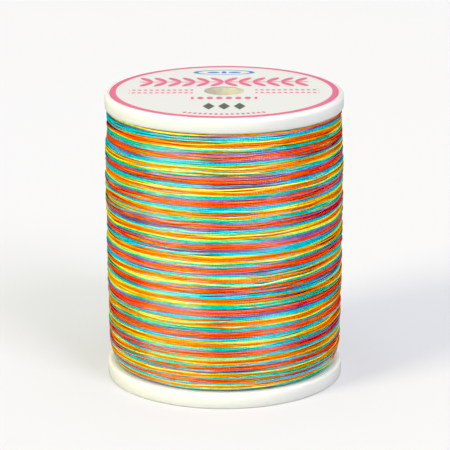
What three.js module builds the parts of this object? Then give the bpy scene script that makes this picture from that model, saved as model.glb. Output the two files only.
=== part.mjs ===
// A spool of embroidery thread: a moulded spool with two flanges, the thread wound on its
// barrel, and a round paper label lying in a shallow recess of the top flange.
// Millimetres, +Z up, with the origin at the middle of the base.
import * as THREE from "three";

// Spool
const overallHeight = 56.6;
const flangeRadius = 23;
const flangeThickness = 3;
const rimRound = 0.7;
const innerRimRound = 0.5;
const barrelRadius = 16;
const barrelFillet = 0.8;
const boreRadius = 3.75;
const boreChamfer = 0.4;

// Label and its recess
const labelRadius = 22;
const labelThickness = 0.4;
const pieceGap = 0.3;

// Wound thread
const bandPitch = 4.2;
const bandDepth = 0.1;
const rowsPerBand = 5;
const windingSections = [
  // Height above the base and radius of the wound body, from the lowest turn to the highest
  { height: 3.3, radius: 21.4 },
  { height: 4.2, radius: 21.9 },
  { height: 5.4, radius: 22.3 },
  { height: 7.0, radius: 22.6 },
  { height: 12.0, radius: 22.7 },
  { height: 20.0, radius: 22.8 },
  { height: 30.0, radius: 22.9 },
  { height: 42.0, radius: 22.95 },
  { height: 46.5, radius: 22.85 },
  { height: 50.0, radius: 22.6 },
  { height: 53.3, radius: 22.4 },
];

const roundSegments = 64;
const roundSteps = 3;

const spoolPlastic = new THREE.MeshStandardMaterial({
  color: 0xf6f3ea,
  roughness: 0.35,
  metalness: 0,
});
const dyedThread = new THREE.MeshStandardMaterial({
  color: 0xe2823c,
  roughness: 0.7,
  metalness: 0,
});
const labelPaper = new THREE.MeshStandardMaterial({
  color: 0xececea,
  roughness: 0.6,
  metalness: 0,
});

// Points of an arc in the profile plane, x being the radius and y the height, angles in degrees
function arc(centreX, centreY, radius, fromAngle, toAngle) {
  const points = [];
  for (let i = 0; i <= roundSteps; i += 1) {
    const angle = THREE.MathUtils.degToRad(
      THREE.MathUtils.lerp(fromAngle, toAngle, i / roundSteps),
    );
    points.push(
      new THREE.Vector2(
        centreX + radius * Math.cos(angle),
        centreY + radius * Math.sin(angle),
      ),
    );
  }
  return points;
}

// A closed profile, given counterclockwise, turned about the Z axis
function turned(profile) {
  const geometry = new THREE.LatheGeometry([...profile, profile[0]], roundSegments);
  return geometry.rotateX(Math.PI / 2);
}

function named(name, geometry, material) {
  const mesh = new THREE.Mesh(geometry, material);
  mesh.name = name;
  return mesh;
}

// The two flanges and the barrel between them, moulded in one, with the bore for a spool pin
function spoolGeometry() {
  const upperFace = overallHeight - flangeThickness;
  const recessFloor = overallHeight - labelThickness - pieceGap;
  const recessRadius = labelRadius + pieceGap;
  const rimCentre = flangeRadius - rimRound;
  const innerRimCentre = flangeRadius - innerRimRound;
  const filletCentre = barrelRadius + barrelFillet;
  return turned([
    new THREE.Vector2(boreRadius + boreChamfer, 0),
    ...arc(rimCentre, rimRound, rimRound, -90, 0),
    ...arc(innerRimCentre, flangeThickness - innerRimRound, innerRimRound, 0, 90),
    ...arc(filletCentre, flangeThickness + barrelFillet, barrelFillet, -90, -180),
    ...arc(filletCentre, upperFace - barrelFillet, barrelFillet, 180, 90),
    ...arc(innerRimCentre, upperFace + innerRimRound, innerRimRound, -90, 0),
    ...arc(rimCentre, overallHeight - rimRound, rimRound, 0, 90),
    new THREE.Vector2(recessRadius, recessFloor),
    new THREE.Vector2(boreRadius + boreChamfer, recessFloor),
    new THREE.Vector2(boreRadius, recessFloor - boreChamfer),
    new THREE.Vector2(boreRadius, boreChamfer),
  ]);
}

// Radius of the wound body at a height, read off the table of sections
function woundRadius(height) {
  const above = windingSections.findIndex((section) => section.height >= height);
  const upper = windingSections[Math.max(above, 1)];
  const lower = windingSections[Math.max(above, 1) - 1];
  return THREE.MathUtils.mapLinear(
    height,
    lower.height,
    upper.height,
    lower.radius,
    upper.radius,
  );
}

// The wound body: a thick ring round the barrel whose outside rises and falls in shallow bands
// that climb with the turns, once round for each band
function windingGeometry() {
  const lowest = windingSections[0].height;
  const highest = windingSections.at(-1).height;
  const innerRadius = barrelRadius + pieceGap;
  const innerCorner = barrelFillet;
  const rows = Math.round(((highest - lowest) / bandPitch) * rowsPerBand);
  const outside = [];
  for (let row = 0; row <= rows; row += 1) {
    const height = THREE.MathUtils.lerp(lowest, highest, row / rows);
    outside.push(new THREE.Vector2(woundRadius(height), height));
  }
  const geometry = turned([
    new THREE.Vector2(innerRadius + innerCorner, lowest),
    ...outside,
    new THREE.Vector2(innerRadius + innerCorner, highest),
    new THREE.Vector2(innerRadius, highest - innerCorner),
    new THREE.Vector2(innerRadius, lowest + innerCorner),
  ]);
  const positions = geometry.attributes.position;
  for (let i = 0; i < positions.count; i += 1) {
    const x = positions.getX(i);
    const y = positions.getY(i);
    const radius = Math.hypot(x, y);
    const onOutside = radius > innerRadius + 2 * innerCorner;
    const turns = positions.getZ(i) / bandPitch - Math.atan2(y, x) / (2 * Math.PI);
    const rise = onOutside ? (bandDepth / 2) * Math.cos(2 * Math.PI * turns) : 0;
    positions.setX(i, x * (1 + rise / radius));
    positions.setY(i, y * (1 + rise / radius));
  }
  return geometry;
}

// The paper disc, with a hole as wide as the bore
function labelGeometry() {
  const top = overallHeight;
  const bottom = overallHeight - labelThickness;
  return turned([
    new THREE.Vector2(boreRadius, bottom),
    new THREE.Vector2(labelRadius, bottom),
    new THREE.Vector2(labelRadius, top),
    new THREE.Vector2(boreRadius, top),
  ]);
}

const threadSpool = new THREE.Group();
threadSpool.add(
  named("spool", spoolGeometry(), spoolPlastic),
  named("thread_winding", windingGeometry(), dyedThread),
  named("label", labelGeometry(), labelPaper),
);

export default threadSpool;
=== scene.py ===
"""A spool of embroidery thread: a moulded spool, the dyed thread wound on it and a paper label.

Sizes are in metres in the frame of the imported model: +Z up along the bore, with the origin at
the middle of the base. A bearing is an angle about the bore, counted from the back of the spool
towards its right-hand side, so that the front is at half a turn.
"""

import logging
import math
from collections.abc import Mapping, Sequence
from dataclasses import astuple, dataclass, field
from enum import Enum
from typing import Any

import bpy
import numpy as np
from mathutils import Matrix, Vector


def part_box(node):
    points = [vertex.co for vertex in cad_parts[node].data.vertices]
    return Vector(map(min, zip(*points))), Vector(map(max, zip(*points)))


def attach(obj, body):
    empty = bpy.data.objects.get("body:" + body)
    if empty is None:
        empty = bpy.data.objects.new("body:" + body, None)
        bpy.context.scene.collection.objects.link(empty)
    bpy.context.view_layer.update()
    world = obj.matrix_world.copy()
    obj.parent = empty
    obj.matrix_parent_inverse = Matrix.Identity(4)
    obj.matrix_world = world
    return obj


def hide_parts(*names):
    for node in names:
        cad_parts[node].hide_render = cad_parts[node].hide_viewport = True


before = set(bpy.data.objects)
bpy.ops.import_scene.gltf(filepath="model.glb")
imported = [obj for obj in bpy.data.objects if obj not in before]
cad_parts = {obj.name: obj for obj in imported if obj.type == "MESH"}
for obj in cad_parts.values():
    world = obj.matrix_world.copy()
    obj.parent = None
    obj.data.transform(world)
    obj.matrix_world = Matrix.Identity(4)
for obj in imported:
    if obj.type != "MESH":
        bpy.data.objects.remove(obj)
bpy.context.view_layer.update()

LOG = logging.getLogger("thread_spool")
MM = 0.001
FULL_TURN = 2 * math.pi
CREASE = math.radians(40)
DYE_ATTRIBUTE = "dye_repeats"
LENGTH_ATTRIBUTE = "thread_length"
AROUND_ATTRIBUTE = "round_the_thread"

Colour = tuple[float, float, float, float]


def linear(code: str) -> Colour:
    """Turns a colour as it looks on a screen into the linear colour that a shader takes.

    Args:
        code: Six hexadecimal digits, two each for red, green and blue.

    Returns:
        Red, green, blue and an alpha of one.
    """
    shares = [int(code[i : i + 2], 16) / 255 for i in (0, 2, 4)]
    red, green, blue = (
        share / 12.92 if share <= 0.04045 else ((share + 0.055) / 1.055) ** 2.4
        for share in shares
    )
    return red, green, blue, 1.0


class Dye(Enum):
    """The dyes along the thread, as they look on it in bright soft light."""

    RED = "ff3a08"
    SCARLET = "ff5c00"
    TANGERINE = "ff6a00"
    ORANGE = "ff8400"
    AMBER = "ffa800"
    YELLOW = "f8ff6c"
    LIME = "a8f482"
    TEAL = "00cec8"
    CYAN = "00d4f2"
    SKY = "66bcf0"
    VIOLET = "9a6cbc"
    PURPLE = "8656a2"
    PINK = "e26c90"


@dataclass(frozen=True)
class DyedStretch:
    """One stretch of the dye repeat.

    Attributes:
        dye: Its colour.
        turns: Its length, about in turns of thread round the full spool.
    """

    dye: Dye
    turns: float


DYE_REPEAT = (
    DyedStretch(Dye.RED, 0.45),
    DyedStretch(Dye.SCARLET, 1.1),
    DyedStretch(Dye.PINK, 0.3),
    DyedStretch(Dye.VIOLET, 0.8),
    DyedStretch(Dye.SKY, 0.3),
    DyedStretch(Dye.TEAL, 1.7),
    DyedStretch(Dye.LIME, 0.25),
    DyedStretch(Dye.YELLOW, 0.6),
    DyedStretch(Dye.AMBER, 0.6),
    DyedStretch(Dye.ORANGE, 0.5),
    DyedStretch(Dye.TANGERINE, 1.15),
    DyedStretch(Dye.ORANGE, 0.5),
    DyedStretch(Dye.AMBER, 0.35),
    DyedStretch(Dye.YELLOW, 0.55),
    DyedStretch(Dye.LIME, 0.5),
    DyedStretch(Dye.TEAL, 0.7),
    DyedStretch(Dye.CYAN, 1.25),
    DyedStretch(Dye.SKY, 0.3),
    DyedStretch(Dye.PURPLE, 0.8),
    DyedStretch(Dye.PINK, 0.4),
    DyedStretch(Dye.SCARLET, 0.85),
    DyedStretch(Dye.RED, 0.45),
)


def dye_stops(stretches: Sequence[DyedStretch]) -> list[tuple[float, Colour]]:
    """Places the dyes on a colour ramp that runs from 0 to 1 over the repeat.

    Args:
        stretches: The dyed stretches in order.

    Returns:
        The place and colour of each stop. A long stretch has a stop near each end, so that its
        colour holds, and a short one has a single stop in its middle.
    """
    whole = sum(stretch.turns for stretch in stretches)
    long_stretch = 0.7
    blend = 0.09
    stops = []
    begun = 0.0
    for stretch in stretches:
        colour = linear(stretch.dye.value)
        ended = begun + stretch.turns
        if stretch.turns > long_stretch:
            stops += [((begun + blend) / whole, colour), ((ended - blend) / whole, colour)]
        else:
            stops.append(((begun + ended) / 2 / whole, colour))
        begun = ended
    return stops


class Signal:
    """A number, colour or vector on its way through a material's nodes."""

    def __init__(self, sheet: "NodeSheet", socket: bpy.types.NodeSocket) -> None:
        """Keeps the node sheet and the output socket that the signal leaves by."""
        self.sheet = sheet
        self.socket = socket

    def __add__(self, other: "Operand") -> "Signal":
        """Adds a number or a signal."""
        return self.sheet.maths("ADD", self, other)

    __radd__ = __add__

    def __sub__(self, other: "Operand") -> "Signal":
        """Takes a number or a signal away."""
        return self.sheet.maths("SUBTRACT", self, other)

    def __rsub__(self, other: "Operand") -> "Signal":
        """Takes the signal away from a number."""
        return self.sheet.maths("SUBTRACT", other, self)

    def __mul__(self, other: "Operand") -> "Signal":
        """Multiplies by a number or a signal."""
        return self.sheet.maths("MULTIPLY", self, other)

    __rmul__ = __mul__

    def __truediv__(self, other: "Operand") -> "Signal":
        """Divides by a number or a signal."""
        return self.sheet.maths("DIVIDE", self, other)

    def __abs__(self) -> "Signal":
        """Drops the sign."""
        return self.sheet.maths("ABSOLUTE", self)

    def __mod__(self, other: "Operand") -> "Signal":
        """Gives what is left over after whole steps, never below zero."""
        return self.sheet.maths("FLOORED_MODULO", self, other)

    def __pow__(self, other: "Operand") -> "Signal":
        """Raises to a power."""
        return self.sheet.maths("POWER", self, other)


Operand = Signal | float | Sequence[float]


class NodeSheet:
    """The node tree of one material, or of the light that surrounds the scene."""

    # The first of a Mix node's two colour inputs, and its colour output
    MIXED_COLOURS = 6
    MIXED_OUTPUT = 2

    def __init__(self, holder: bpy.types.Material | bpy.types.World) -> None:
        """Starts with an empty tree."""
        self.holder = holder
        self.holder.use_nodes = True
        self.tree = self.holder.node_tree
        self.tree.nodes.clear()

    def node(
        self,
        kind: str,
        settings: Mapping[str, Any] | None = None,
        inputs: Mapping[str | int, Operand] | None = None,
    ) -> bpy.types.Node:
        """Adds a node.

        Args:
            kind: The node's type.
            settings: Its own settings, set before its sockets. Under "stops" a colour ramp takes
                its places and colours.
            inputs: Values or signals, by the name or number of the socket they go to.

        Returns:
            The node.
        """
        made = self.tree.nodes.new(kind)
        for name, value in (settings or {}).items():
            if name == "stops":
                self._set_stops(made.color_ramp, value)
            else:
                setattr(made, name, value)
        for key, value in (inputs or {}).items():
            if isinstance(value, Signal):
                self.tree.links.new(value.socket, made.inputs[key])
            else:
                made.inputs[key].default_value = value
        return made

    def _set_stops(
        self, ramp: bpy.types.ColorRamp, stops: Sequence[tuple[float, Colour]]
    ) -> None:
        """Gives a colour ramp its stops.

        Args:
            ramp: The ramp, which starts with two stops.
            stops: The place and colour of each, in rising order.
        """
        while len(ramp.elements) < len(stops):
            ramp.elements.new(1.0)
        for element, (place, colour) in zip(ramp.elements, stops, strict=True):
            element.position = place
            element.color = colour

    def signal(self, made: bpy.types.Node, output: str | int = 0) -> Signal:
        """Gives the signal that leaves a node by one of its outputs."""
        return Signal(self, made.outputs[output])

    def maths(self, operation: str, *operands: Operand) -> Signal:
        """Works on numbers with a Math node."""
        inputs = dict(enumerate(operands))
        return self.signal(self.node("ShaderNodeMath", {"operation": operation}, inputs))

    def clamped(self, value: Signal) -> Signal:
        """Holds a number between 0 and 1."""
        return self.signal(self.node("ShaderNodeClamp", None, {"Value": value}))

    def larger(self, *signals: Operand) -> Signal:
        """Gives the largest of several numbers."""
        found = signals[0]
        for other in signals[1:]:
            found = self.maths("MAXIMUM", found, other)
        return found

    def mixed(self, first: Operand, second: Operand, share: Operand) -> Signal:
        """Mixes two colours.

        Args:
            first: The colour at a share of zero.
            second: The colour that is mixed in.
            share: How much of it, from 0 to 1.

        Returns:
            The mixed colour.
        """
        start = self.MIXED_COLOURS
        inputs = {0: share, start: first, start + 1: second}
        made = self.node("ShaderNodeMix", {"data_type": "RGBA"}, inputs)
        return self.signal(made, self.MIXED_OUTPUT)

    def noise(self, size: float, detail: float = 2.0) -> Signal:
        """Gives mottling between 0 and 1.

        Args:
            size: The width of a mottle, in metres.
            detail: How many finer mottlings are added.

        Returns:
            The mottling.
        """
        inputs = {"Vector": self.place(), "Scale": 1 / size, "Detail": detail}
        return self.signal(self.node("ShaderNodeTexNoise", None, inputs), "Fac")

    def noise_along(self, length: Signal, size: float) -> Signal:
        """Gives mottling between 0 and 1 along a length.

        Args:
            length: How far along the thread a place is, in metres.
            size: The length of a mottle.

        Returns:
            The mottling.
        """
        inputs = {"W": length / size, "Detail": 1.0}
        settings = {"noise_dimensions": "1D"}
        return self.signal(self.node("ShaderNodeTexNoise", settings, inputs), "Fac")

    def place(self) -> Signal:
        """Gives the place on the piece, in metres."""
        return self.signal(self.node("ShaderNodeTexCoord"), "Object")

    def axes(self, vector: Signal) -> tuple[Signal, Signal, Signal]:
        """Splits a vector into its three numbers."""
        made = self.node("ShaderNodeSeparateXYZ", None, {"Vector": vector})
        return self.signal(made, "X"), self.signal(made, "Y"), self.signal(made, "Z")

    def off_axis(self) -> Signal:
        """Gives the distance from the axis of the bore, in metres."""
        across, along, _ = self.axes(self.place())
        return (across**2 + along**2) ** 0.5

    def attribute(self, name: str) -> Signal:
        """Reads a number kept on the mesh."""
        return self.signal(self.node("ShaderNodeAttribute", {"attribute_name": name}), "Fac")

    def bumped(self, height: Signal, depth: float) -> Signal:
        """Raises the surface.

        Args:
            height: The relief, from 0 to 1.
            depth: How far a height of 1 stands up, in metres.

        Returns:
            The normal of the raised surface.
        """
        inputs = {"Height": height, "Distance": depth, "Strength": 1.0}
        return self.signal(self.node("ShaderNodeBump", None, inputs), "Normal")

    def finish(self, inputs: Mapping[str | int, Operand]) -> bpy.types.Material:
        """Ends the material in one surface shader.

        Args:
            inputs: Values or signals for the shader's sockets.

        Returns:
            The finished material.
        """
        shader = self.signal(self.node("ShaderNodeBsdfPrincipled", None, inputs), "BSDF")
        self.node("ShaderNodeOutputMaterial", None, {"Surface": shader})
        return self.holder


@dataclass(frozen=True)
class MouldedPlastic:
    """Warm white moulded plastic with a soft gloss, with painted warm shade inside the bore that makes
    it a little yellower.
    """

    colour: str = "c9ccce"
    # Painted warm shade inside the bore
    bore_shade_colour: str = "d0c9bc"
    bore_reach: float = 4.4 * MM
    roughness: float = 0.3
    roughness_range: float = 0.12
    gloss: float = 0.5
    translucency: float = 0.95
    light_depth: float = 5.0 * MM
    depth_by_colour: tuple[float, float, float] = (1.0, 0.9, 0.7)
    flow_colour: str = "dcd8ca"
    flow_share: float = 0.18
    flow_size: float = 9 * MM
    grain_size: float = 0.35 * MM
    grain_depth: float = 0.004 * MM

    def material(self) -> bpy.types.Material:
        """Makes the material.

        Returns:
            The plastic, with faint flow mottling, a fine moulded grain and painted shade in the bore.
        """
        sheet = NodeSheet(bpy.data.materials.new("moulded_plastic"))
        # Painted shade: inside the bore the colour turns a little darker and yellower.
        in_bore = sheet.maths("LESS_THAN", sheet.off_axis(), self.bore_reach)
        body = sheet.mixed(linear(self.colour), linear(self.bore_shade_colour), in_bore)
        flow = sheet.noise(self.flow_size, detail=3.0)
        shaded = sheet.mixed(body, linear(self.flow_colour), flow * self.flow_share)
        grain = sheet.noise(self.grain_size)
        return sheet.finish(
            {
                "Base Color": shaded,
                "Roughness": self.roughness + self.roughness_range * flow,
                "Specular IOR Level": self.gloss,
                "Subsurface Weight": self.translucency,
                "Subsurface Radius": self.depth_by_colour,
                "Subsurface Scale": self.light_depth,
                "Normal": sheet.bumped(grain, self.grain_depth),
            }
        )


@dataclass(frozen=True)
class TwistedThread:
    """Mercerised thread of twisted plies, dyed along its length."""

    ply_spacing: float = 0.52 * MM
    ply_slant: float = 1.2
    ply_depth: float = 0.035 * MM
    groove_shade: float = 0.45
    shade_length: float = 6 * MM
    shade_range: float = 0.45
    shade_middle: float = 0.4
    fibre_size: float = 0.3 * MM
    fibre_shade: float = 0.7
    fibre_relief: float = 0.3
    roughness: float = 0.17
    roughness_range: float = 0.06
    gloss: float = 0.85
    refraction: float = 1.9

    def material(self) -> bpy.types.Material:
        """Makes the material.

        Returns:
            The thread, which reads its dye and its twist from the mesh.
        """
        sheet = NodeSheet(bpy.data.materials.new("dyed_thread"))
        repeats = sheet.attribute(DYE_ATTRIBUTE)
        length = sheet.attribute(LENGTH_ATTRIBUTE)
        around = sheet.attribute(AROUND_ATTRIBUTE)
        ramp = sheet.node(
            "ShaderNodeValToRGB", {"stops": dye_stops(DYE_REPEAT)}, {"Fac": repeats % 1.0}
        )
        turned_by = length / self.ply_spacing + around * self.ply_slant
        ply = abs(turned_by % 1.0 - 0.5) * 2.0
        crown = 1.0 - ply**2
        fibres = sheet.noise(self.fibre_size, detail=1.0)
        dyed = sheet.signal(ramp, "Color")
        uneven = sheet.noise_along(length, self.shade_length)
        streak = self.shade_range * (uneven - self.shade_middle)
        mottle = self.fibre_shade * (fibres - 0.5)
        # The groove term is painted shade between the plies; the streaks and the fibre mottle are the
        # dye's own uneven tone.
        shade = sheet.larger(self.groove_shade * (1.0 - crown) + streak + mottle, 0.0)
        return sheet.finish(
            {
                "Base Color": sheet.mixed(dyed, linear("000000"), shade),
                "Roughness": self.roughness + self.roughness_range * fibres,
                "Specular IOR Level": self.gloss,
                "IOR": self.refraction,
                "Normal": sheet.bumped(crown + self.fibre_relief * fibres, self.ply_depth),
            }
        )


@dataclass(frozen=True)
class PrintedPaper:
    """Smooth white paper printed with a pink border and a plain ornament.

    The ornament is laid out in millimetres from the middle of the label, with the front of the
    spool at the bottom. Its left and right halves are alike.
    """

    paper: str = "c0c2c7"
    pink: str = "c06088"
    blue: str = "3f6fb4"
    grey: str = "5c5c62"
    border_inside: float = 20.8
    border_outside: float = 22.05
    edge_blur: float = 0.07
    fibre_colour: str = "cfcdc6"
    fibre_share: float = 0.12
    fibre_size: float = 0.25 * MM
    fibre_depth: float = 0.006 * MM
    roughness: float = 0.5
    roughness_range: float = 0.15
    gloss: float = 0.4

    def material(self) -> bpy.types.Material:
        """Makes the material.

        Returns:
            The printed paper.
        """
        sheet = NodeSheet(bpy.data.materials.new("printed_paper"))
        across, along, _ = sheet.axes(sheet.place())
        x = across / MM
        y = along / MM
        pink_ink = sheet.larger(
            self._border(x, y),
            self._garland(x, y),
            self._beads(x, y),
            self._short_row(x, y),
            self._front_arc(x, y),
        )
        printed = sheet.mixed(linear(self.paper), linear(self.pink), pink_ink)
        printed = sheet.mixed(printed, linear(self.blue), self._rosette(x, y))
        printed = sheet.mixed(printed, linear(self.grey), self._lozenges(x, y))
        fibres = sheet.noise(self.fibre_size, detail=4.0)
        speckled = sheet.mixed(printed, linear(self.fibre_colour), fibres * self.fibre_share)
        return sheet.finish(
            {
                "Base Color": speckled,
                "Roughness": self.roughness + self.roughness_range * fibres,
                "Specular IOR Level": self.gloss,
                "Normal": sheet.bumped(fibres, self.fibre_depth),
            }
        )

    def _inked(self, outside: Signal) -> Signal:
        """Turns a distance outside an outline, in millimetres, into ink from 0 to 1."""
        return outside.sheet.clamped(0.5 - outside / self.edge_blur)

    def _ellipse(self, x: Signal, y: Signal, half_width: float, half_height: float) -> Signal:
        """Gives about how far a place lies outside an ellipse about the origin.

        Args:
            x: The place across.
            y: The place along.
            half_width: The ellipse's reach across.
            half_height: Its reach along.

        Returns:
            The distance, below zero inside.
        """
        reach = ((x / half_width) ** 2 + (y / half_height) ** 2) ** 0.5
        return (reach - 1.0) * min(half_width, half_height)

    def _oval(self, x: Signal, y: Signal, half_width: float, half_height: float) -> Signal:
        """Inks an oval about the origin."""
        return self._inked(self._ellipse(x, y, half_width, half_height))

    def _border(self, x: Signal, y: Signal) -> Signal:
        """Inks the ring at the label's edge."""
        middle = (self.border_inside + self.border_outside) / 2
        reach = (self.border_outside - self.border_inside) / 2
        return self._inked(abs((x**2 + y**2) ** 0.5 - middle) - reach)

    def _garland(self, x: Signal, y: Signal) -> Signal:
        """Inks a straight garland of slanting leaves behind the hole."""
        stem_height, half_length, half_stem = 7.6, 16.5, 0.28
        leaf_pitch, leaf_height, lean = 2.75, 2.0, math.radians(58)
        out = abs(x)
        up = abs(y - stem_height)
        u = out % leaf_pitch - leaf_pitch / 2
        v = up - leaf_height
        along_leaf = u * math.cos(lean) + v * math.sin(lean)
        across_leaf = v * math.cos(lean) - u * math.sin(lean)
        leaves = self._oval(along_leaf, across_leaf, half_width=2.1, half_height=0.72)
        stem = self._inked(up - half_stem)
        return x.sheet.larger(leaves, stem) * self._inked(out - half_length)

    def _beads(self, x: Signal, y: Signal) -> Signal:
        """Inks two fine rows of beads on each side of the hole."""
        first, last, pitch = 6.0, 18.3, 1.12
        middle, half_gap = -0.5, 1.15
        u = abs(x) % pitch - pitch / 2
        v = abs(y - middle) - half_gap
        within = self._inked(abs(abs(x) - (first + last) / 2) - (last - first) / 2)
        return self._oval(u, v, half_width=0.4, half_height=0.5) * within

    def _short_row(self, x: Signal, y: Signal) -> Signal:
        """Inks a short row of seeds in front of the hole."""
        half_length, pitch, middle = 6.3, 1.8, -6.1
        u = abs(x) % pitch - pitch / 2
        seeds = self._oval(u, y - middle, half_width=0.62, half_height=1.05)
        return seeds * self._inked(abs(x) - half_length)

    def _front_arc(self, x: Signal, y: Signal) -> Signal:
        """Inks an arc of small dots that follows the border at the front."""
        radius, half_angle, pitch = 19.1, 24.0, 3.0
        off_front = abs(x.sheet.maths("ARCTAN2", x, 0.0 - y)) * (180 / math.pi)
        u = (off_front % pitch - pitch / 2) * (math.pi / 180 * radius)
        v = (x**2 + y**2) ** 0.5 - radius
        dots = self._oval(u, v, half_width=0.34, half_height=0.6)
        return dots * self._inked(off_front - half_angle)

    def _rosette(self, x: Signal, y: Signal) -> Signal:
        """Inks the small oval at the back, with a seed and two leaves in it."""
        middle, leaf_middle, half_line = 16.1, 2.1, 0.17
        v = y - middle
        outline = self._ellipse(x, v, half_width=5.6, half_height=1.95)
        frame_line = self._inked(abs(outline) - half_line)
        leaves = self._oval(abs(x) - leaf_middle, v, half_width=1.25, half_height=0.6)
        seed = self._oval(x, v, half_width=0.5, half_height=0.9)
        return x.sheet.larger(frame_line, leaves, seed)

    def _lozenges(self, x: Signal, y: Signal) -> Signal:
        """Inks three upright lozenges near the front."""
        pitch, middle, half_width, half_height, steepness = 2.9, -12.8, 1.15, 2.7, 1.05
        u = abs((abs(x) + pitch / 2) % pitch - pitch / 2)
        v = abs(y - middle)
        outside = (u / half_width + v / half_height - 1.0) * steepness
        return self._inked(outside) * self._inked(abs(x) - 1.5 * pitch)


@dataclass(frozen=True)
class PaleFloor:
    """A plain pale floor that glows a little, as a white shooting table does."""

    colour: str = "a2a3ab"
    mottle_colour: str = "a6a6a4"
    mottle_share: float = 0.2
    mottle_size: float = 0.2
    roughness: float = 0.7
    gloss: float = 0.1
    glow: float = 0.332
    glow_colour: str = "ffffff"
    # The glow's colour under the spool's foot, a painted contact shade
    contact_shade_colour: str = "f2e2b8"
    foot_radius: float = 22.4 * MM
    foot_shade: float = 0.8 * MM

    def material(self) -> bpy.types.Material:
        """Makes the material.

        Returns:
            The floor's even finish, with a warmer, dimmer glow under the spool's foot that paints a
            soft contact shade there.
        """
        sheet = NodeSheet(bpy.data.materials.new("pale_floor"))
        mottle = sheet.noise(self.mottle_size) * self.mottle_share
        tone = sheet.mixed(linear(self.colour), linear(self.mottle_colour), mottle)
        # Painted contact shade: within the foot's reach the glow turns warmer and dimmer.
        lit = sheet.clamped((sheet.off_axis() - self.foot_radius) / self.foot_shade)
        light = sheet.mixed(linear(self.contact_shade_colour), linear(self.glow_colour), lit)
        return sheet.finish(
            {
                "Base Color": tone,
                "Roughness": self.roughness,
                "Specular IOR Level": self.gloss,
                "Emission Color": light,
                "Emission Strength": self.glow,
            }
        )


@dataclass
class MeshDraft:
    """The points and faces of a mesh on its way into Blender.

    Attributes:
        points: One row of three coordinates for each point.
        corners: The point at each face corner, face after face.
        sides: How many corners each face has.
        numbers: Named numbers kept for each point.
        map_places: A place on the bake map for each corner, or None.
    """

    points: np.ndarray
    corners: np.ndarray
    sides: np.ndarray
    numbers: dict[str, np.ndarray] = field(default_factory=dict)
    map_places: np.ndarray | None = None

    def piece(self, name: str, material: bpy.types.Material, crease: float | None) -> bpy.types.Object:
        """Makes the mesh and its object.

        Args:
            name: The piece's name.
            material: Its material.
            crease: The angle between faces above which an edge is sharp, or None for no sharp
                edge.

        Returns:
            The object, linked into the scene.
        """
        mesh = bpy.data.meshes.new(name)
        mesh.vertices.add(len(self.points))
        mesh.vertices.foreach_set("co", self.points.astype(np.float32).ravel())
        mesh.loops.add(len(self.corners))
        mesh.loops.foreach_set("vertex_index", self.corners.astype(np.int32))
        mesh.polygons.add(len(self.sides))
        starts = np.concatenate([[0], np.cumsum(self.sides)[:-1]])
        mesh.polygons.foreach_set("loop_start", starts.astype(np.int32))
        mesh.update(calc_edges=True)
        mesh.polygons.foreach_set("use_smooth", np.ones(len(self.sides), dtype=bool))
        if crease is not None:
            mesh.set_sharp_from_angle(angle=crease)
        for label, values in self.numbers.items():
            kept = mesh.attributes.new(label, "FLOAT", "POINT")
            kept.data.foreach_set("value", values.astype(np.float32))
        if self.map_places is not None:
            bake_map = mesh.uv_layers.new(name="OFBake")
            bake_map.uv.foreach_set("vector", self.map_places.astype(np.float32).ravel())
        mesh.materials.append(material)
        mesh.validate()
        made = bpy.data.objects.new(name, mesh)
        bpy.context.scene.collection.objects.link(made)
        return made


def arc(
    centre: tuple[float, float], radius: float, start: float, end: float, steps: int = 10
) -> list[tuple[float, float]]:
    """Gives points of an arc in a turned profile.

    Args:
        centre: Radius and height of the arc's centre.
        radius: The arc's own radius.
        start: The angle it starts at, in degrees from straight outwards.
        end: The angle it ends at.
        steps: How many steps it takes.

    Returns:
        The points, both ends included.
    """
    angles = np.radians(np.linspace(start, end, steps + 1))
    return [
        (centre[0] + radius * math.cos(angle), centre[1] + radius * math.sin(angle))
        for angle in angles
    ]


def turned(profile: Sequence[tuple[float, float]], segments: int) -> MeshDraft:
    """Turns a closed profile about the bore.

    Args:
        profile: Radius and height of each point, counterclockwise.
        segments: How many segments the turn has.

    Returns:
        The closed ring.
    """
    outline = np.array(profile)
    bearings = np.arange(segments) / segments * FULL_TURN
    radius = outline[None, :, 0]
    points = np.stack(
        [
            radius * np.sin(bearings)[:, None],
            radius * np.cos(bearings)[:, None],
            np.broadcast_to(outline[None, :, 1], (segments, len(outline))),
        ],
        axis=-1,
    )
    here = np.arange(segments)[:, None] * len(outline) + np.arange(len(outline))[None, :]
    beside = np.roll(here, -1, axis=0)
    above = np.roll(here, -1, axis=1)
    across = np.roll(beside, -1, axis=1)
    quads = np.stack([here, above, across, beside], axis=-1).reshape(-1, 4)
    return MeshDraft(points.reshape(-1, 3), quads.ravel(), np.full(len(quads), 4))


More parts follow.
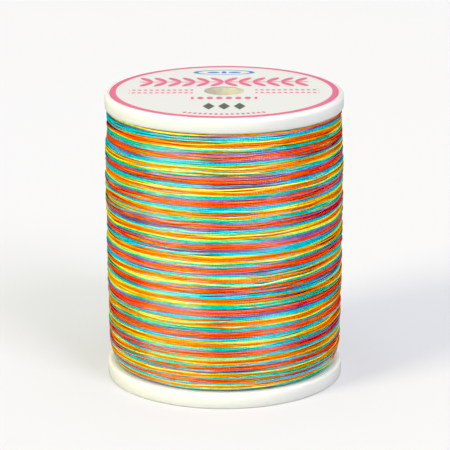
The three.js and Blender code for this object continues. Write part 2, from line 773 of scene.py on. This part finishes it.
@dataclass
class MouldedSpool:
    """The spool: two flanges and the barrel between them, with the bore for a spool pin."""

    finish: MouldedPlastic = MouldedPlastic()
    flange_thickness: float = 3.0 * MM
    barrel_radius: float = 16.0 * MM
    bore_radius: float = 3.75 * MM
    shoulder_round: float = 0.85 * MM
    foot_round: float = 0.35 * MM
    lip_round: float = 0.45 * MM
    fillet: float = 0.8 * MM
    mouth_round: float = 0.3 * MM
    recess_radius: float = 22.1 * MM
    recess_depth: float = 0.13 * MM
    edge_break: float = 0.02 * MM
    segments: int = 256

    def build(self) -> bpy.types.Object:
        """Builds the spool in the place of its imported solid.

        Returns:
            The spool.
        """
        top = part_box("spool")[1][2]
        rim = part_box("spool")[1][0]
        draft = turned(self._profile(rim, top), self.segments)
        spool = draft.piece("moulded_spool", self.finish.material(), CREASE)
        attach(spool, "root")
        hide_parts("spool")
        return spool

    def _profile(self, rim: float, top: float) -> list[tuple[float, float]]:
        """Draws half of the spool's section.

        Args:
            rim: The radius of the flanges.
            top: The height of the spool.

        Returns:
            The closed outline.
        """
        under = top - self.flange_thickness
        over = self.flange_thickness
        foot, lip, shoulder = self.foot_round, self.lip_round, self.shoulder_round
        corner = self.barrel_radius + self.fillet
        floor = top - self.recess_depth
        mouth = self.bore_radius + self.mouth_round
        return [
            *arc((mouth, self.mouth_round), self.mouth_round, -180, -90, steps=4),
            *arc((rim - foot, foot), foot, -90, 0),
            *arc((rim - lip, over - lip), lip, 0, 90),
            *arc((corner, over + self.fillet), self.fillet, -90, -180),
            *arc((corner, under - self.fillet), self.fillet, 180, 90),
            *arc((rim - lip, under + lip), lip, -90, 0),
            *arc((rim - shoulder, top - shoulder), shoulder, 0, 90),
            (self.recess_radius + self.edge_break, top - self.edge_break / 2),
            (self.recess_radius, floor),
            *arc((mouth, floor - self.mouth_round), self.mouth_round, 90, 180, steps=4),
        ]


@dataclass
class PaperLabel:
    """The round label that lies in the recess of the top flange."""

    finish: PrintedPaper = PrintedPaper()
    thickness: float = 0.11 * MM
    edge_round: float = 0.03 * MM
    hole_gap: float = 0.05 * MM
    rings: int = 10
    segments: int = 192

    def build(self) -> bpy.types.Object:
        """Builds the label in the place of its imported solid.

        Returns:
            The label.
        """
        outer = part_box("label")[1][0]
        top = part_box("label")[1][2]
        hole = MouldedSpool.bore_radius + self.hole_gap
        low, edge = top - self.thickness, self.edge_round
        rings = np.linspace(outer - edge, hole + edge, self.rings + 2)[1:-1]
        profile = [
            (hole, low + edge),
            (hole + edge, low),
            (outer - edge, low),
            *arc((outer - edge, top - edge), edge, 0, 90, steps=3),
            *[(radius, top) for radius in rings],
            (hole + edge, top),
            (hole, top - edge),
        ]
        draft = turned(profile, self.segments)
        label = draft.piece("paper_label", self.finish.material(), CREASE)
        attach(label, "root")
        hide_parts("label")
        return label


@dataclass(frozen=True)
class WoundSection:
    """One height of the wound thread, in millimetres.

    Attributes:
        height: Above the base.
        radius: Out to the crowns of the turns.
        pitch: From one turn to the next.
    """

    height: float
    radius: float
    pitch: float


WOUND_SECTIONS = (
    WoundSection(height=3.0, radius=21.2, pitch=0.16),
    WoundSection(height=4.2, radius=21.75, pitch=0.16),
    WoundSection(height=5.4, radius=22.15, pitch=0.17),
    WoundSection(height=7.0, radius=22.5, pitch=0.20),
    WoundSection(height=12.0, radius=22.65, pitch=0.25),
    WoundSection(height=16.0, radius=22.7, pitch=0.27),
    WoundSection(height=20.0, radius=22.8, pitch=0.285),
    WoundSection(height=30.0, radius=22.9, pitch=0.29),
    WoundSection(height=42.0, radius=22.95, pitch=0.29),
    WoundSection(height=46.5, radius=22.85, pitch=0.29),
    WoundSection(height=50.0, radius=22.6, pitch=0.29),
    WoundSection(height=53.6, radius=22.5, pitch=0.29),
)


@dataclass(frozen=True)
class SlippedTurn:
    """A turn that has slipped across its neighbours for part of its way round.

    Attributes:
        height: Where it lies, in millimetres above the base.
        bearing: Where it has slipped furthest, in degrees.
        slip: How far it has slipped, in millimetres, upwards if positive.
        span: How many degrees the slip takes on each side.
    """

    height: float
    bearing: float
    slip: float
    span: float


SLIPPED_TURNS = (
    SlippedTurn(height=8.6, bearing=245, slip=-0.75, span=30),
    SlippedTurn(height=5.2, bearing=140, slip=-0.6, span=35),
    SlippedTurn(height=24.9, bearing=178, slip=-0.4, span=18),
    SlippedTurn(height=35.2, bearing=210, slip=-0.5, span=25),
    SlippedTurn(height=17.4, bearing=200, slip=-0.45, span=28),
    SlippedTurn(height=12.2, bearing=20, slip=-0.7, span=30),
    SlippedTurn(height=30.4, bearing=320, slip=-0.6, span=24),
    SlippedTurn(height=44.1, bearing=60, slip=-0.5, span=30),
)


# Heights in millimetres at which the red comes round at the front. The first is just below the
# lowest turn, and the last above the highest
RED_HEIGHTS = (2.9, 5.4, 7.8, 10.9, 14.6, 18.9, 23.4, 27.3, 31.8, 35.9, 40.3, 44.6, 49.0, 53.4, 57.8)


@dataclass(frozen=True)
class Lean:
    """How far the turns rise beside the front at one height of the winding, in millimetres.

    Attributes:
        height: Above the base.
        right: The rise on the right, where the turns lean most.
        left: The rise on the left.
    """

    height: float
    right: float
    left: float


LEANS = (
    Lean(height=3.0, right=0.0, left=0.0),
    Lean(height=6.5, right=0.5, left=0.2),
    Lean(height=11.0, right=1.2, left=-0.05),
    Lean(height=16.0, right=1.3, left=-0.05),
    Lean(height=21.0, right=1.0, left=-0.3),
    Lean(height=26.0, right=0.75, left=-0.2),
    Lean(height=31.0, right=1.0, left=-0.15),
    Lean(height=36.0, right=0.6, left=0.0),
    Lean(height=41.0, right=0.7, left=-0.2),
    Lean(height=46.0, right=0.6, left=-0.5),
    Lean(height=51.0, right=0.25, left=-0.3),
    Lean(height=53.6, right=0.0, left=0.0),
)


def smooth_noise(rng: np.random.Generator, count: int, width: int) -> np.ndarray:
    """Draws numbers that change gradually.

    Args:
        rng: Where the numbers come from.
        count: How many are wanted.
        width: Over how many of them they change.

    Returns:
        The numbers, about zero and mostly within 2.
    """
    window = np.hanning(width + 2)[1:-1]
    drawn = rng.standard_normal(count + width - 1)
    return np.convolve(drawn, window, mode="valid") / math.sqrt(float(np.sum(window**2)))


@dataclass(frozen=True)
class ThreadLayer:
    """One layer of turns, laid side by side from one flange to the other.

    Attributes:
        name: The start of its pieces' names.
        sink: How far its crowns lie below the wound form.
        upwards: Whether it was wound from the bottom to the top.
        parts: Into how many pieces it is split, from the bottom up.
        steps: Steps to a turn.
        section: Angles of the points round the thread, in degrees from straight outwards.
        sway: How far a turn strays from its place by itself.
        seed: Picks the layer's own random numbers.
    """

    name: str
    sink: float
    upwards: bool
    parts: int
    steps: int
    section: tuple[float, ...]
    sway: float
    seed: int


@dataclass
class ThreadWinding:
    """The thread wound on the barrel, as a core and two layers of turns.

    The under layer shows in the gaps of the outer one, whose turns stray, part and climb over
    each other.
    """

    finish: TwistedThread = TwistedThread()
    diameter: float = 0.3 * MM
    diameter_range: float = 0.05
    flatness: float = 0.85
    # Shares of the diameter: how near two turns lie, how far one climbs over those laid before
    # it, and how near its middle comes to a flange
    squeeze: float = 0.8
    highest_climb: float = 0.7
    nearest_flange: float = 0.42
    turns_climbed: int = 4
    repeat_height: float = 4.3 * MM
    swell: float = 0.045 * MM
    wave_kinds: int = 14
    wave_height: float = 5 * MM
    looseness: float = 0.5
    looseness_limits: tuple[float, float] = (0.2, 2.0)
    right_bearing: float = 70.0
    left_bearing: float = 290.0
    # A parting's reach is in radians round the spool, and its spread in millimetres up and down
    partings: int = 240
    parting_width: float = 0.19 * MM
    parting_reaches: tuple[float, float] = (0.08, 0.3)
    parting_spreads: tuple[float, float] = (0.5, 1.2)
    parting_step: float = 0.1 * MM
    core_sink: float = 0.4 * MM
    core_gap: float = 0.05 * MM
    core_end_gap: float = 0.02 * MM
    core_rows: int = 170
    core_segments: int = 96
    # Parts of a dye repeat
    uneven_dyeing: float = 0.028
    under_offset: float = 0.37
    last_turn_start: float = 0.48
    last_turn_repeats: float = 0.22
    seed: int = 31
    outer_layer: ThreadLayer = ThreadLayer(
        name="outer_turns",
        sink=0.03 * MM,
        upwards=True,
        parts=2,
        steps=120,
        section=(-125, -80, -40, 0, 40, 80, 125, 180),
        sway=0.07 * MM,
        seed=5,
    )
    under_layer: ThreadLayer = ThreadLayer(
        name="under_turns",
        sink=0.13 * MM,
        upwards=False,
        parts=2,
        steps=90,
        section=(-110, -55, 0, 55, 110, 180),
        sway=0.045 * MM,
        seed=9,
    )

    def __post_init__(self) -> None:
        """Works out the winding's ends and reads the columns of its table of sections."""
        self.low = MouldedSpool.flange_thickness
        self.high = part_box("spool")[1][2] - MouldedSpool.flange_thickness
        columns = np.array([astuple(row) for row in WOUND_SECTIONS]).T * MM
        self.section_heights, self.section_radii, self.section_pitches = columns

    def build(self) -> list[bpy.types.Object]:
        """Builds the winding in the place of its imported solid.

        Returns:
            The core and the pieces of each layer.
        """
        material = self.finish.material()
        pieces = [self._core(material)]
        pieces += self._lay(self.under_layer, material)
        pieces += self._lay(self.outer_layer, material)
        for piece in pieces:
            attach(piece, "root")
            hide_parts("thread_winding")
        return pieces

    def _radius(self, heights: np.ndarray) -> np.ndarray:
        """Gives the radius of the wound form at some heights."""
        return np.interp(heights, self.section_heights, self.section_radii)

    def _core(self, material: bpy.types.Material) -> bpy.types.Object:
        """Builds the body of earlier turns that backs the two layers.

        Args:
            material: Its finish.

        Returns:
            The core.
        """
        inner = MouldedSpool.barrel_radius + self.core_gap
        corner = MouldedSpool.fillet
        low, high = self.low + self.core_end_gap, self.high - self.core_end_gap
        heights = np.linspace(low, high, self.core_rows)
        radii = self._radius(heights) - self.core_sink
        profile = [
            (inner + corner, float(heights[0])),
            *zip(radii.tolist(), heights.tolist(), strict=True),
            (inner + corner, float(heights[-1])),
            (inner, float(heights[-1]) - corner),
            (inner, float(heights[0]) + corner),
        ]
        draft = turned(profile, self.core_segments)
        tall = draft.points[:, 2]
        draft.numbers = {
            DYE_ATTRIBUTE: tall / self.repeat_height,
            LENGTH_ATTRIBUTE: np.arctan2(draft.points[:, 0], draft.points[:, 1]) * inner,
            AROUND_ATTRIBUTE: tall / self.diameter,
        }
        return draft.piece("wound_core", material, CREASE)

    def _even_heights(self, layer: ThreadLayer) -> np.ndarray:
        """Lays a layer's turns evenly between the flanges.

        Args:
            layer: The layer.

        Returns:
            The height of the thread's middle at each step, from the first turn laid to the last.
        """
        samples = 4000
        fine = np.linspace(self.low + self.diameter / 2, self.high - self.diameter / 2, samples)
        pitches = np.interp(fine, self.section_heights, self.section_pitches)
        turns_between = np.diff(fine) / (pitches[1:] + pitches[:-1]) * 2
        turns_below = np.concatenate([[0.0], np.cumsum(turns_between)])
        turns = int(turns_below[-1])
        turns -= turns % layer.parts
        place = np.arange(turns * layer.steps + 1) / layer.steps
        heights = np.interp(place * turns_below[-1] / turns, turns_below, fine)
        return heights if layer.upwards else heights[::-1]

    def _laid_heights(
        self, layer: ThreadLayer, even: np.ndarray, bearings: np.ndarray, rng: np.random.Generator
    ) -> np.ndarray:
        """Moves a layer's turns from their even places to where they really lie.

        Args:
            layer: The layer.
            even: The even height at each step.
            bearings: Where each step is round the spool.
            rng: Where its random numbers come from.

        Returns:
            The height of the thread's middle at each step.
        """
        heights = even + self._leans(bearings, even)
        heights = heights + self.swell * self._waves(bearings, heights, self.seed)
        looseness = 1 + self.looseness * self._waves(bearings, heights, self.seed + 1)
        strays = smooth_noise(rng, len(even), layer.steps // 7)
        heights = heights + layer.sway * np.clip(looseness, *self.looseness_limits) * strays
        if layer.upwards:
            heights = heights + self._partings(bearings, heights, rng)
            heights = heights + self._slips(bearings, heights, layer.steps)
        nearest = self.diameter * self.nearest_flange
        return np.clip(heights, self.low + nearest, self.high - nearest)

    def _leans(self, bearings: np.ndarray, heights: np.ndarray) -> np.ndarray:
        """Gives how far the turns rise on the right and on the left.

        Args:
            bearings: Where each step is round the spool.
            heights: Where it is above the base.

        Returns:
            How far each step is moved up.
        """
        levels = [row.height * MM for row in LEANS]
        risen = np.zeros_like(heights)
        for bearing, rises in (
            (self.right_bearing, [row.right * MM for row in LEANS]),
            (self.left_bearing, [row.left * MM for row in LEANS]),
        ):
            aside = 0.5 + 0.5 * np.cos(bearings - math.radians(bearing))
            risen += np.interp(heights, levels, rises) * aside**3
        return risen

    def _waves(self, bearings: np.ndarray, heights: np.ndarray, seed: int) -> np.ndarray:
        """Gives slow waves over the winding, which neighbouring turns share.

        Args:
            bearings: Where each step is round the spool.
            heights: Where it is above the base.
            seed: Picks the waves.

        Returns:
            The waves at each step, about zero and mostly within 2.
        """
        rng = np.random.default_rng(seed)
        total = np.zeros_like(heights)
        for waves in range(1, self.wave_kinds + 1):
            rise = rng.uniform(-1, 1) * FULL_TURN / self.wave_height
            start = rng.uniform(0, FULL_TURN)
            total += np.cos(waves * bearings + rise * heights + start) / math.sqrt(waves)
        return total / math.sqrt(2)

    def _partings(
        self, bearings: np.ndarray, heights: np.ndarray, rng: np.random.Generator
    ) -> np.ndarray:
        """Gives how far turns are pushed apart where a gap opens between two of them.

        Args:
            bearings: Where each step is round the spool.
            heights: Where it is above the base.
            rng: Where the places of the gaps come from.

        Returns:
            How far each step is moved up.
        """
        moved = np.zeros_like(heights)
        for _ in range(self.partings):
            where = rng.uniform(0, FULL_TURN)
            level = rng.uniform(self.low, self.high)
            reach = rng.uniform(*self.parting_reaches)
            spread = rng.uniform(*self.parting_spreads) * MM
            width = rng.uniform(0.4, 1.0) * self.parting_width
            off = np.angle(np.exp(1j * (bearings - where)))
            above = heights - level
            shape = np.exp(-((off / reach) ** 2) - np.abs(above) / spread)
            moved += width * np.tanh(above / self.parting_step) * shape
        return moved

    def _slips(self, bearings: np.ndarray, heights: np.ndarray, steps: int) -> np.ndarray:
        """Gives how far the slipped turns are moved.

        Args:
            bearings: Where each step is round the spool.
            heights: Where it is above the base.
            steps: Steps to a turn.

        Returns:
            How far each step is moved up.
        """
        moved = np.zeros_like(heights)
        index = np.arange(len(heights))
        half_step = FULL_TURN / steps / 2 + 1e-6
        for turn in SLIPPED_TURNS:
            off = np.angle(np.exp(1j * (bearings - math.radians(turn.bearing))))
            gaps = np.where(np.abs(off) < half_step, np.abs(heights - turn.height * MM), np.inf)
            middle = int(np.argmin(gaps))
            away = (index - middle) / steps * 360 / turn.span
            moved += turn.slip * MM * np.exp(-(away**2))
        return moved

    def _lifts(self, heights: np.ndarray, steps: int) -> np.ndarray:
        """Works out how far each turn climbs over the ones laid before it.

        Args:
            heights: The height of the thread's middle at each step.
            steps: Steps to a turn.

        Returns:
            How far each step is moved outwards.
        """
        across = self.diameter * self.squeeze
        turns = (len(heights) - 1) // steps
        laid = heights[:-1].reshape(turns, steps)
        lift = np.zeros_like(laid)
        for turn in range(1, turns):
            for back in range(1, min(turn, self.turns_climbed) + 1):
                apart = np.abs(laid[turn] - laid[turn - back])
                climb = np.sqrt(np.maximum(across**2 - apart**2, 0.0))
                resting = np.where(apart < across, lift[turn - back] + climb, 0.0)
                lift[turn] = np.maximum(lift[turn], resting)
            lift[turn] = np.minimum(lift[turn], self.highest_climb * self.diameter)
        window = np.hanning(7)[1:-1]
        whole = np.append(lift.ravel(), lift[-1, -1])
        return np.convolve(np.pad(whole, 2, mode="edge"), window / window.sum(), mode="valid")

    def _lay(self, layer: ThreadLayer, material: bpy.types.Material) -> list[bpy.types.Object]:
        """Builds one layer of turns.

        Args:
            layer: The layer.
            material: Its finish.

        Returns:
            Its pieces, each a closed tube.
        """
        rng = np.random.default_rng(layer.seed)
        even = self._even_heights(layer)
        count = len(even)
        bearings = np.arange(count) / layer.steps * FULL_TURN
        heights = self._laid_heights(layer, even, bearings, rng)
        uneven = self.diameter_range * smooth_noise(rng, count, layer.steps // 12)
        thickness = self.diameter * (1 + uneven)
        lifts = self._lifts(heights, layer.steps) if layer.upwards else np.zeros(count)
        middles = self._radius(heights) - layer.sink - thickness * self.flatness / 2 + lifts
        steps_along = np.hypot(middles[1:] * FULL_TURN / layer.steps, np.diff(heights))
        lengths = np.concatenate([[0.0], np.cumsum(steps_along)])
        repeats = self._dye_repeats(layer, even, rng)
        pieces = []
        turns = (count - 1) // layer.steps
        share = turns // layer.parts
        for part in range(layer.parts):
            span = slice(part * share * layer.steps, (part + 1) * share * layer.steps + 1)
            draft = self._tube(
                layer, middles[span], heights[span], bearings[span], thickness[span] / 2
            )
            around = np.tile(np.array(layer.section) / 360, len(heights[span]))
            draft.numbers = {
                DYE_ATTRIBUTE: np.repeat(repeats[span], len(layer.section)),
                LENGTH_ATTRIBUTE: np.repeat(lengths[span], len(layer.section)),
                AROUND_ATTRIBUTE: around,
            }
            pieces.append(draft.piece(f"{layer.name}_{part + 1}", material, None))
        return pieces

    def _dye_repeats(
        self, layer: ThreadLayer, even: np.ndarray, rng: np.random.Generator
    ) -> np.ndarray:
        """Counts the dye repeats along the thread.

        Args:
            layer: The layer.
            even: The height that each step would have on an even winding.
            rng: Where the unevenness of the dyeing comes from.

        Returns:
            The number of repeats up to each step, a whole number in the middle of the red.
        """
        counted = np.interp(even, np.array(RED_HEIGHTS) * MM, np.arange(len(RED_HEIGHTS)))
        counted = counted + self.uneven_dyeing * smooth_noise(rng, len(counted), layer.steps // 4)
        if not layer.upwards:
            return counted + self.under_offset
        last = len(counted) - 1 - layer.steps
        run_on = self.last_turn_start + self.last_turn_repeats * np.linspace(0, 1, layer.steps + 1)
        return np.append(counted[:last], counted[last] // 1 + run_on)

    def _tube(
        self,
        layer: ThreadLayer,
        middles: np.ndarray,
        heights: np.ndarray,
        bearings: np.ndarray,
        radii: np.ndarray,
    ) -> MeshDraft:
        """Builds a closed tube along the thread.

        Args:
            layer: The layer, for its section and steps.
            middles: How far the thread's middle is from the axis at each step.
            heights: Its height at each step.
            bearings: Where each step is round the spool.
            radii: Half of its thickness at each step.

        Returns:
            The tube, with a place on the bake map for each corner.
        """
        angles = np.radians(np.array(layer.section, dtype=float))
        count, around = len(middles), len(angles)
        out = middles[:, None] + self.flatness * radii[:, None] * np.cos(angles)[None, :]
        up = heights[:, None] + radii[:, None] * np.sin(angles)[None, :]
        points = np.stack(
            [out * np.sin(bearings)[:, None], out * np.cos(bearings)[:, None], up], axis=-1
        )
        rows = np.arange(count - 1)[:, None]
        here = rows * around + np.arange(around)[None, :]
        above = rows * around + (np.arange(around)[None, :] + 1) % around
        quads = np.stack([here, above, above + around, here + around], axis=-1).reshape(-1, 4)
        ends = np.stack([np.arange(around)[::-1], (count - 1) * around + np.arange(around)])
        turns = (count - 1) // layer.steps
        turn, step = np.divmod(rows, layer.steps)
        corner_u = np.array([0, 0, 1, 1]) / layer.steps
        corner_v = np.array([0, 1, 1, 0]) / (around * turns)
        u = (step / layer.steps + np.zeros((1, around)))[..., None] + corner_u
        v = (turn + np.arange(around)[None, :] / around)[..., None] / turns + corner_v
        places = np.stack([u, v], axis=-1).reshape(-1, 2)
        end_places = np.zeros((2 * around, 2))
        return MeshDraft(
            points.reshape(-1, 3),
            np.concatenate([quads.ravel(), ends.ravel()]),
            np.concatenate([np.full(len(quads), 4), np.full(2, around)]),
            map_places=np.concatenate([places, end_places]),
        )


@dataclass(frozen=True)
class SoftBox:
    """A rectangular lamp that faces the spool.

    Attributes:
        name: Its name.
        bearing: Where it stands, in degrees to the right of the camera.
        elevation: How high it stands, in degrees.
        distance: How far off it stands.
        size: Its width and height.
        watts: Its power.
        colour: The colour of its light.
    """

    name: str
    bearing: float
    elevation: float
    distance: float
    size: tuple[float, float]
    watts: float
    colour: tuple[float, float, float]


@dataclass
class Studio:
    """The pale floor, the soft lamps and the camera."""

    floor_finish: PaleFloor = PaleFloor()
    floor_size: float = 12.0
    surround_left: tuple[float, float, float] = (0.65, 0.67, 0.65)
    surround_right: tuple[float, float, float] = (0.9, 0.88, 0.9)
    black_level: tuple[float, float, float] = (0.113, 0.08, 0.117)
    # How bright the surround is as a gloss mirrors it, beside its plain light
    mirrored: float = 0.3
    camera_distance: float = 483.64 * MM
    camera_elevation: float = 16.121
    camera_roll: float = -0.158
    lens: float = 198.31
    sensor: float = 36.0
    farthest: float = 50.0
    aim: tuple[float, float, float] = (0.105 * MM, 0.0, 29.746 * MM)
    lamps: tuple[SoftBox, ...] = (
        SoftBox("key_lamp", -53, 30, 16.0, (5.0, 9.0), 2600.0, (1.0, 0.94, 0.6)),
        SoftBox("fill_lamp", 36, 40, 16.0, (5.5, 8.0), 1550.0, (1.0, 0.97, 0.98)),
        SoftBox("top_lamp", 0, 84, 16.0, (8.0, 8.0), 430.0, (1.0, 1.0, 1.0)),
    )

    def build(self) -> list[bpy.types.Object]:
        """Sets up the studio.

        Returns:
            The floor, the lamps and the camera.
        """
        scene = bpy.context.scene
        self._tone(scene.view_settings)
        self._surround(scene)
        floor = self._floor()
        lamps = [self._lamp(lamp) for lamp in self.lamps]
        camera = self._camera()
        scene.camera = camera
        return [floor, *lamps, camera]

    def _tone(self, view: bpy.types.ColorManagedViewSettings) -> None:
        """Gives the picture deep, clear tones, as a camera's own curve does."""
        view.view_transform = "Standard"
        view.use_curve_mapping = True
        view.curve_mapping.black_level = self.black_level
        view.curve_mapping.update()

    def _surround(self, scene: bpy.types.Scene) -> None:
        """Lights the whole scene softly from all round, and a little more from the right."""
        sheet = NodeSheet(bpy.data.worlds.new("soft_surround"))
        direction = sheet.signal(sheet.node("ShaderNodeTexCoord"), "Generated")
        rightwards, _, _ = sheet.axes(direction)
        left = self.surround_left + (1.0,)
        right = self.surround_right + (1.0,)
        light = sheet.mixed(left, right, 0.5 + 0.5 * rightwards)
        mirror = sheet.signal(sheet.node("ShaderNodeLightPath"), "Is Glossy Ray")
        strength = 1.0 - (1.0 - self.mirrored) * mirror
        background = sheet.node("ShaderNodeBackground", None, {"Color": light, "Strength": strength})
        sheet.node("ShaderNodeOutputWorld", None, {"Surface": sheet.signal(background)})
        scene.world = sheet.holder

    def _floor(self) -> bpy.types.Object:
        """Lays the floor just under the spool.

        Returns:
            The floor.
        """
        half = self.floor_size / 2
        corners = [(-half, -half), (half, -half), (half, half), (-half, half)]
        draft = MeshDraft(
            np.array([(x, y, 0.0) for x, y in corners]), np.arange(4), np.array([4])
        )
        floor = draft.piece("pale_floor", self.floor_finish.material(), None)
        floor.visible_glossy = False
        return floor

    def _lamp(self, lamp: SoftBox) -> bpy.types.Object:
        """Hangs one lamp, turned to the middle of the spool.

        Args:
            lamp: The lamp.

        Returns:
            Its object.
        """
        light = bpy.data.lights.new(lamp.name, "AREA")
        light.shape = "RECTANGLE"
        light.size, light.size_y = lamp.size
        light.energy = lamp.watts
        light.color = lamp.colour
        return self._aimed(lamp.name, light, lamp.bearing, lamp.elevation, lamp.distance, 0.0)

    def _camera(self) -> bpy.types.Object:
        """Sets up the camera at the angle and distance of the reference view.

        Returns:
            Its object.
        """
        data = bpy.data.cameras.new("camera")
        data.lens = self.lens
        data.sensor_width = self.sensor
        data.clip_end = self.farthest
        return self._aimed(
            "camera", data, 0.0, self.camera_elevation, self.camera_distance, self.camera_roll
        )

    def _aimed(
        self,
        name: str,
        data: bpy.types.ID,
        bearing: float,
        elevation: float,
        distance: float,
        roll: float,
    ) -> bpy.types.Object:
        """Places a lamp or the camera so that it looks at the aim.

        Args:
            name: The object's name.
            data: Its light or camera.
            bearing: Where it stands, in degrees to the right of the front.
            elevation: How high it stands, in degrees.
            distance: How far from the aim.
            roll: How far it is turned about its own view, in degrees.

        Returns:
            The object, linked into the scene.
        """
        made = bpy.data.objects.new(name, data)
        bpy.context.scene.collection.objects.link(made)
        aside, raised = math.radians(bearing), math.radians(elevation)
        level = math.cos(raised)
        away = Vector((math.sin(aside) * level, -math.cos(aside) * level, math.sin(raised)))
        made.location = Vector(self.aim) + distance * away
        turn = away.to_track_quat("Z", "Y").to_matrix().to_4x4()
        made.rotation_euler = turn.to_euler()
        made.rotation_euler.rotate_axis("Z", math.radians(roll))
        return made


def main() -> None:
    """Builds the studio, the spool, the winding and the label, and reports each piece."""
    logging.basicConfig(level=logging.INFO, format="%(name)s: %(message)s")
    made = [*Studio().build(), MouldedSpool().build(), *ThreadWinding().build()]
    made.append(PaperLabel().build())
    for piece in made:
        faces = len(piece.data.polygons) if piece.type == "MESH" else 0
        LOG.info("%s: %d faces", piece.name, faces)


if __name__ == "__main__":
    main()
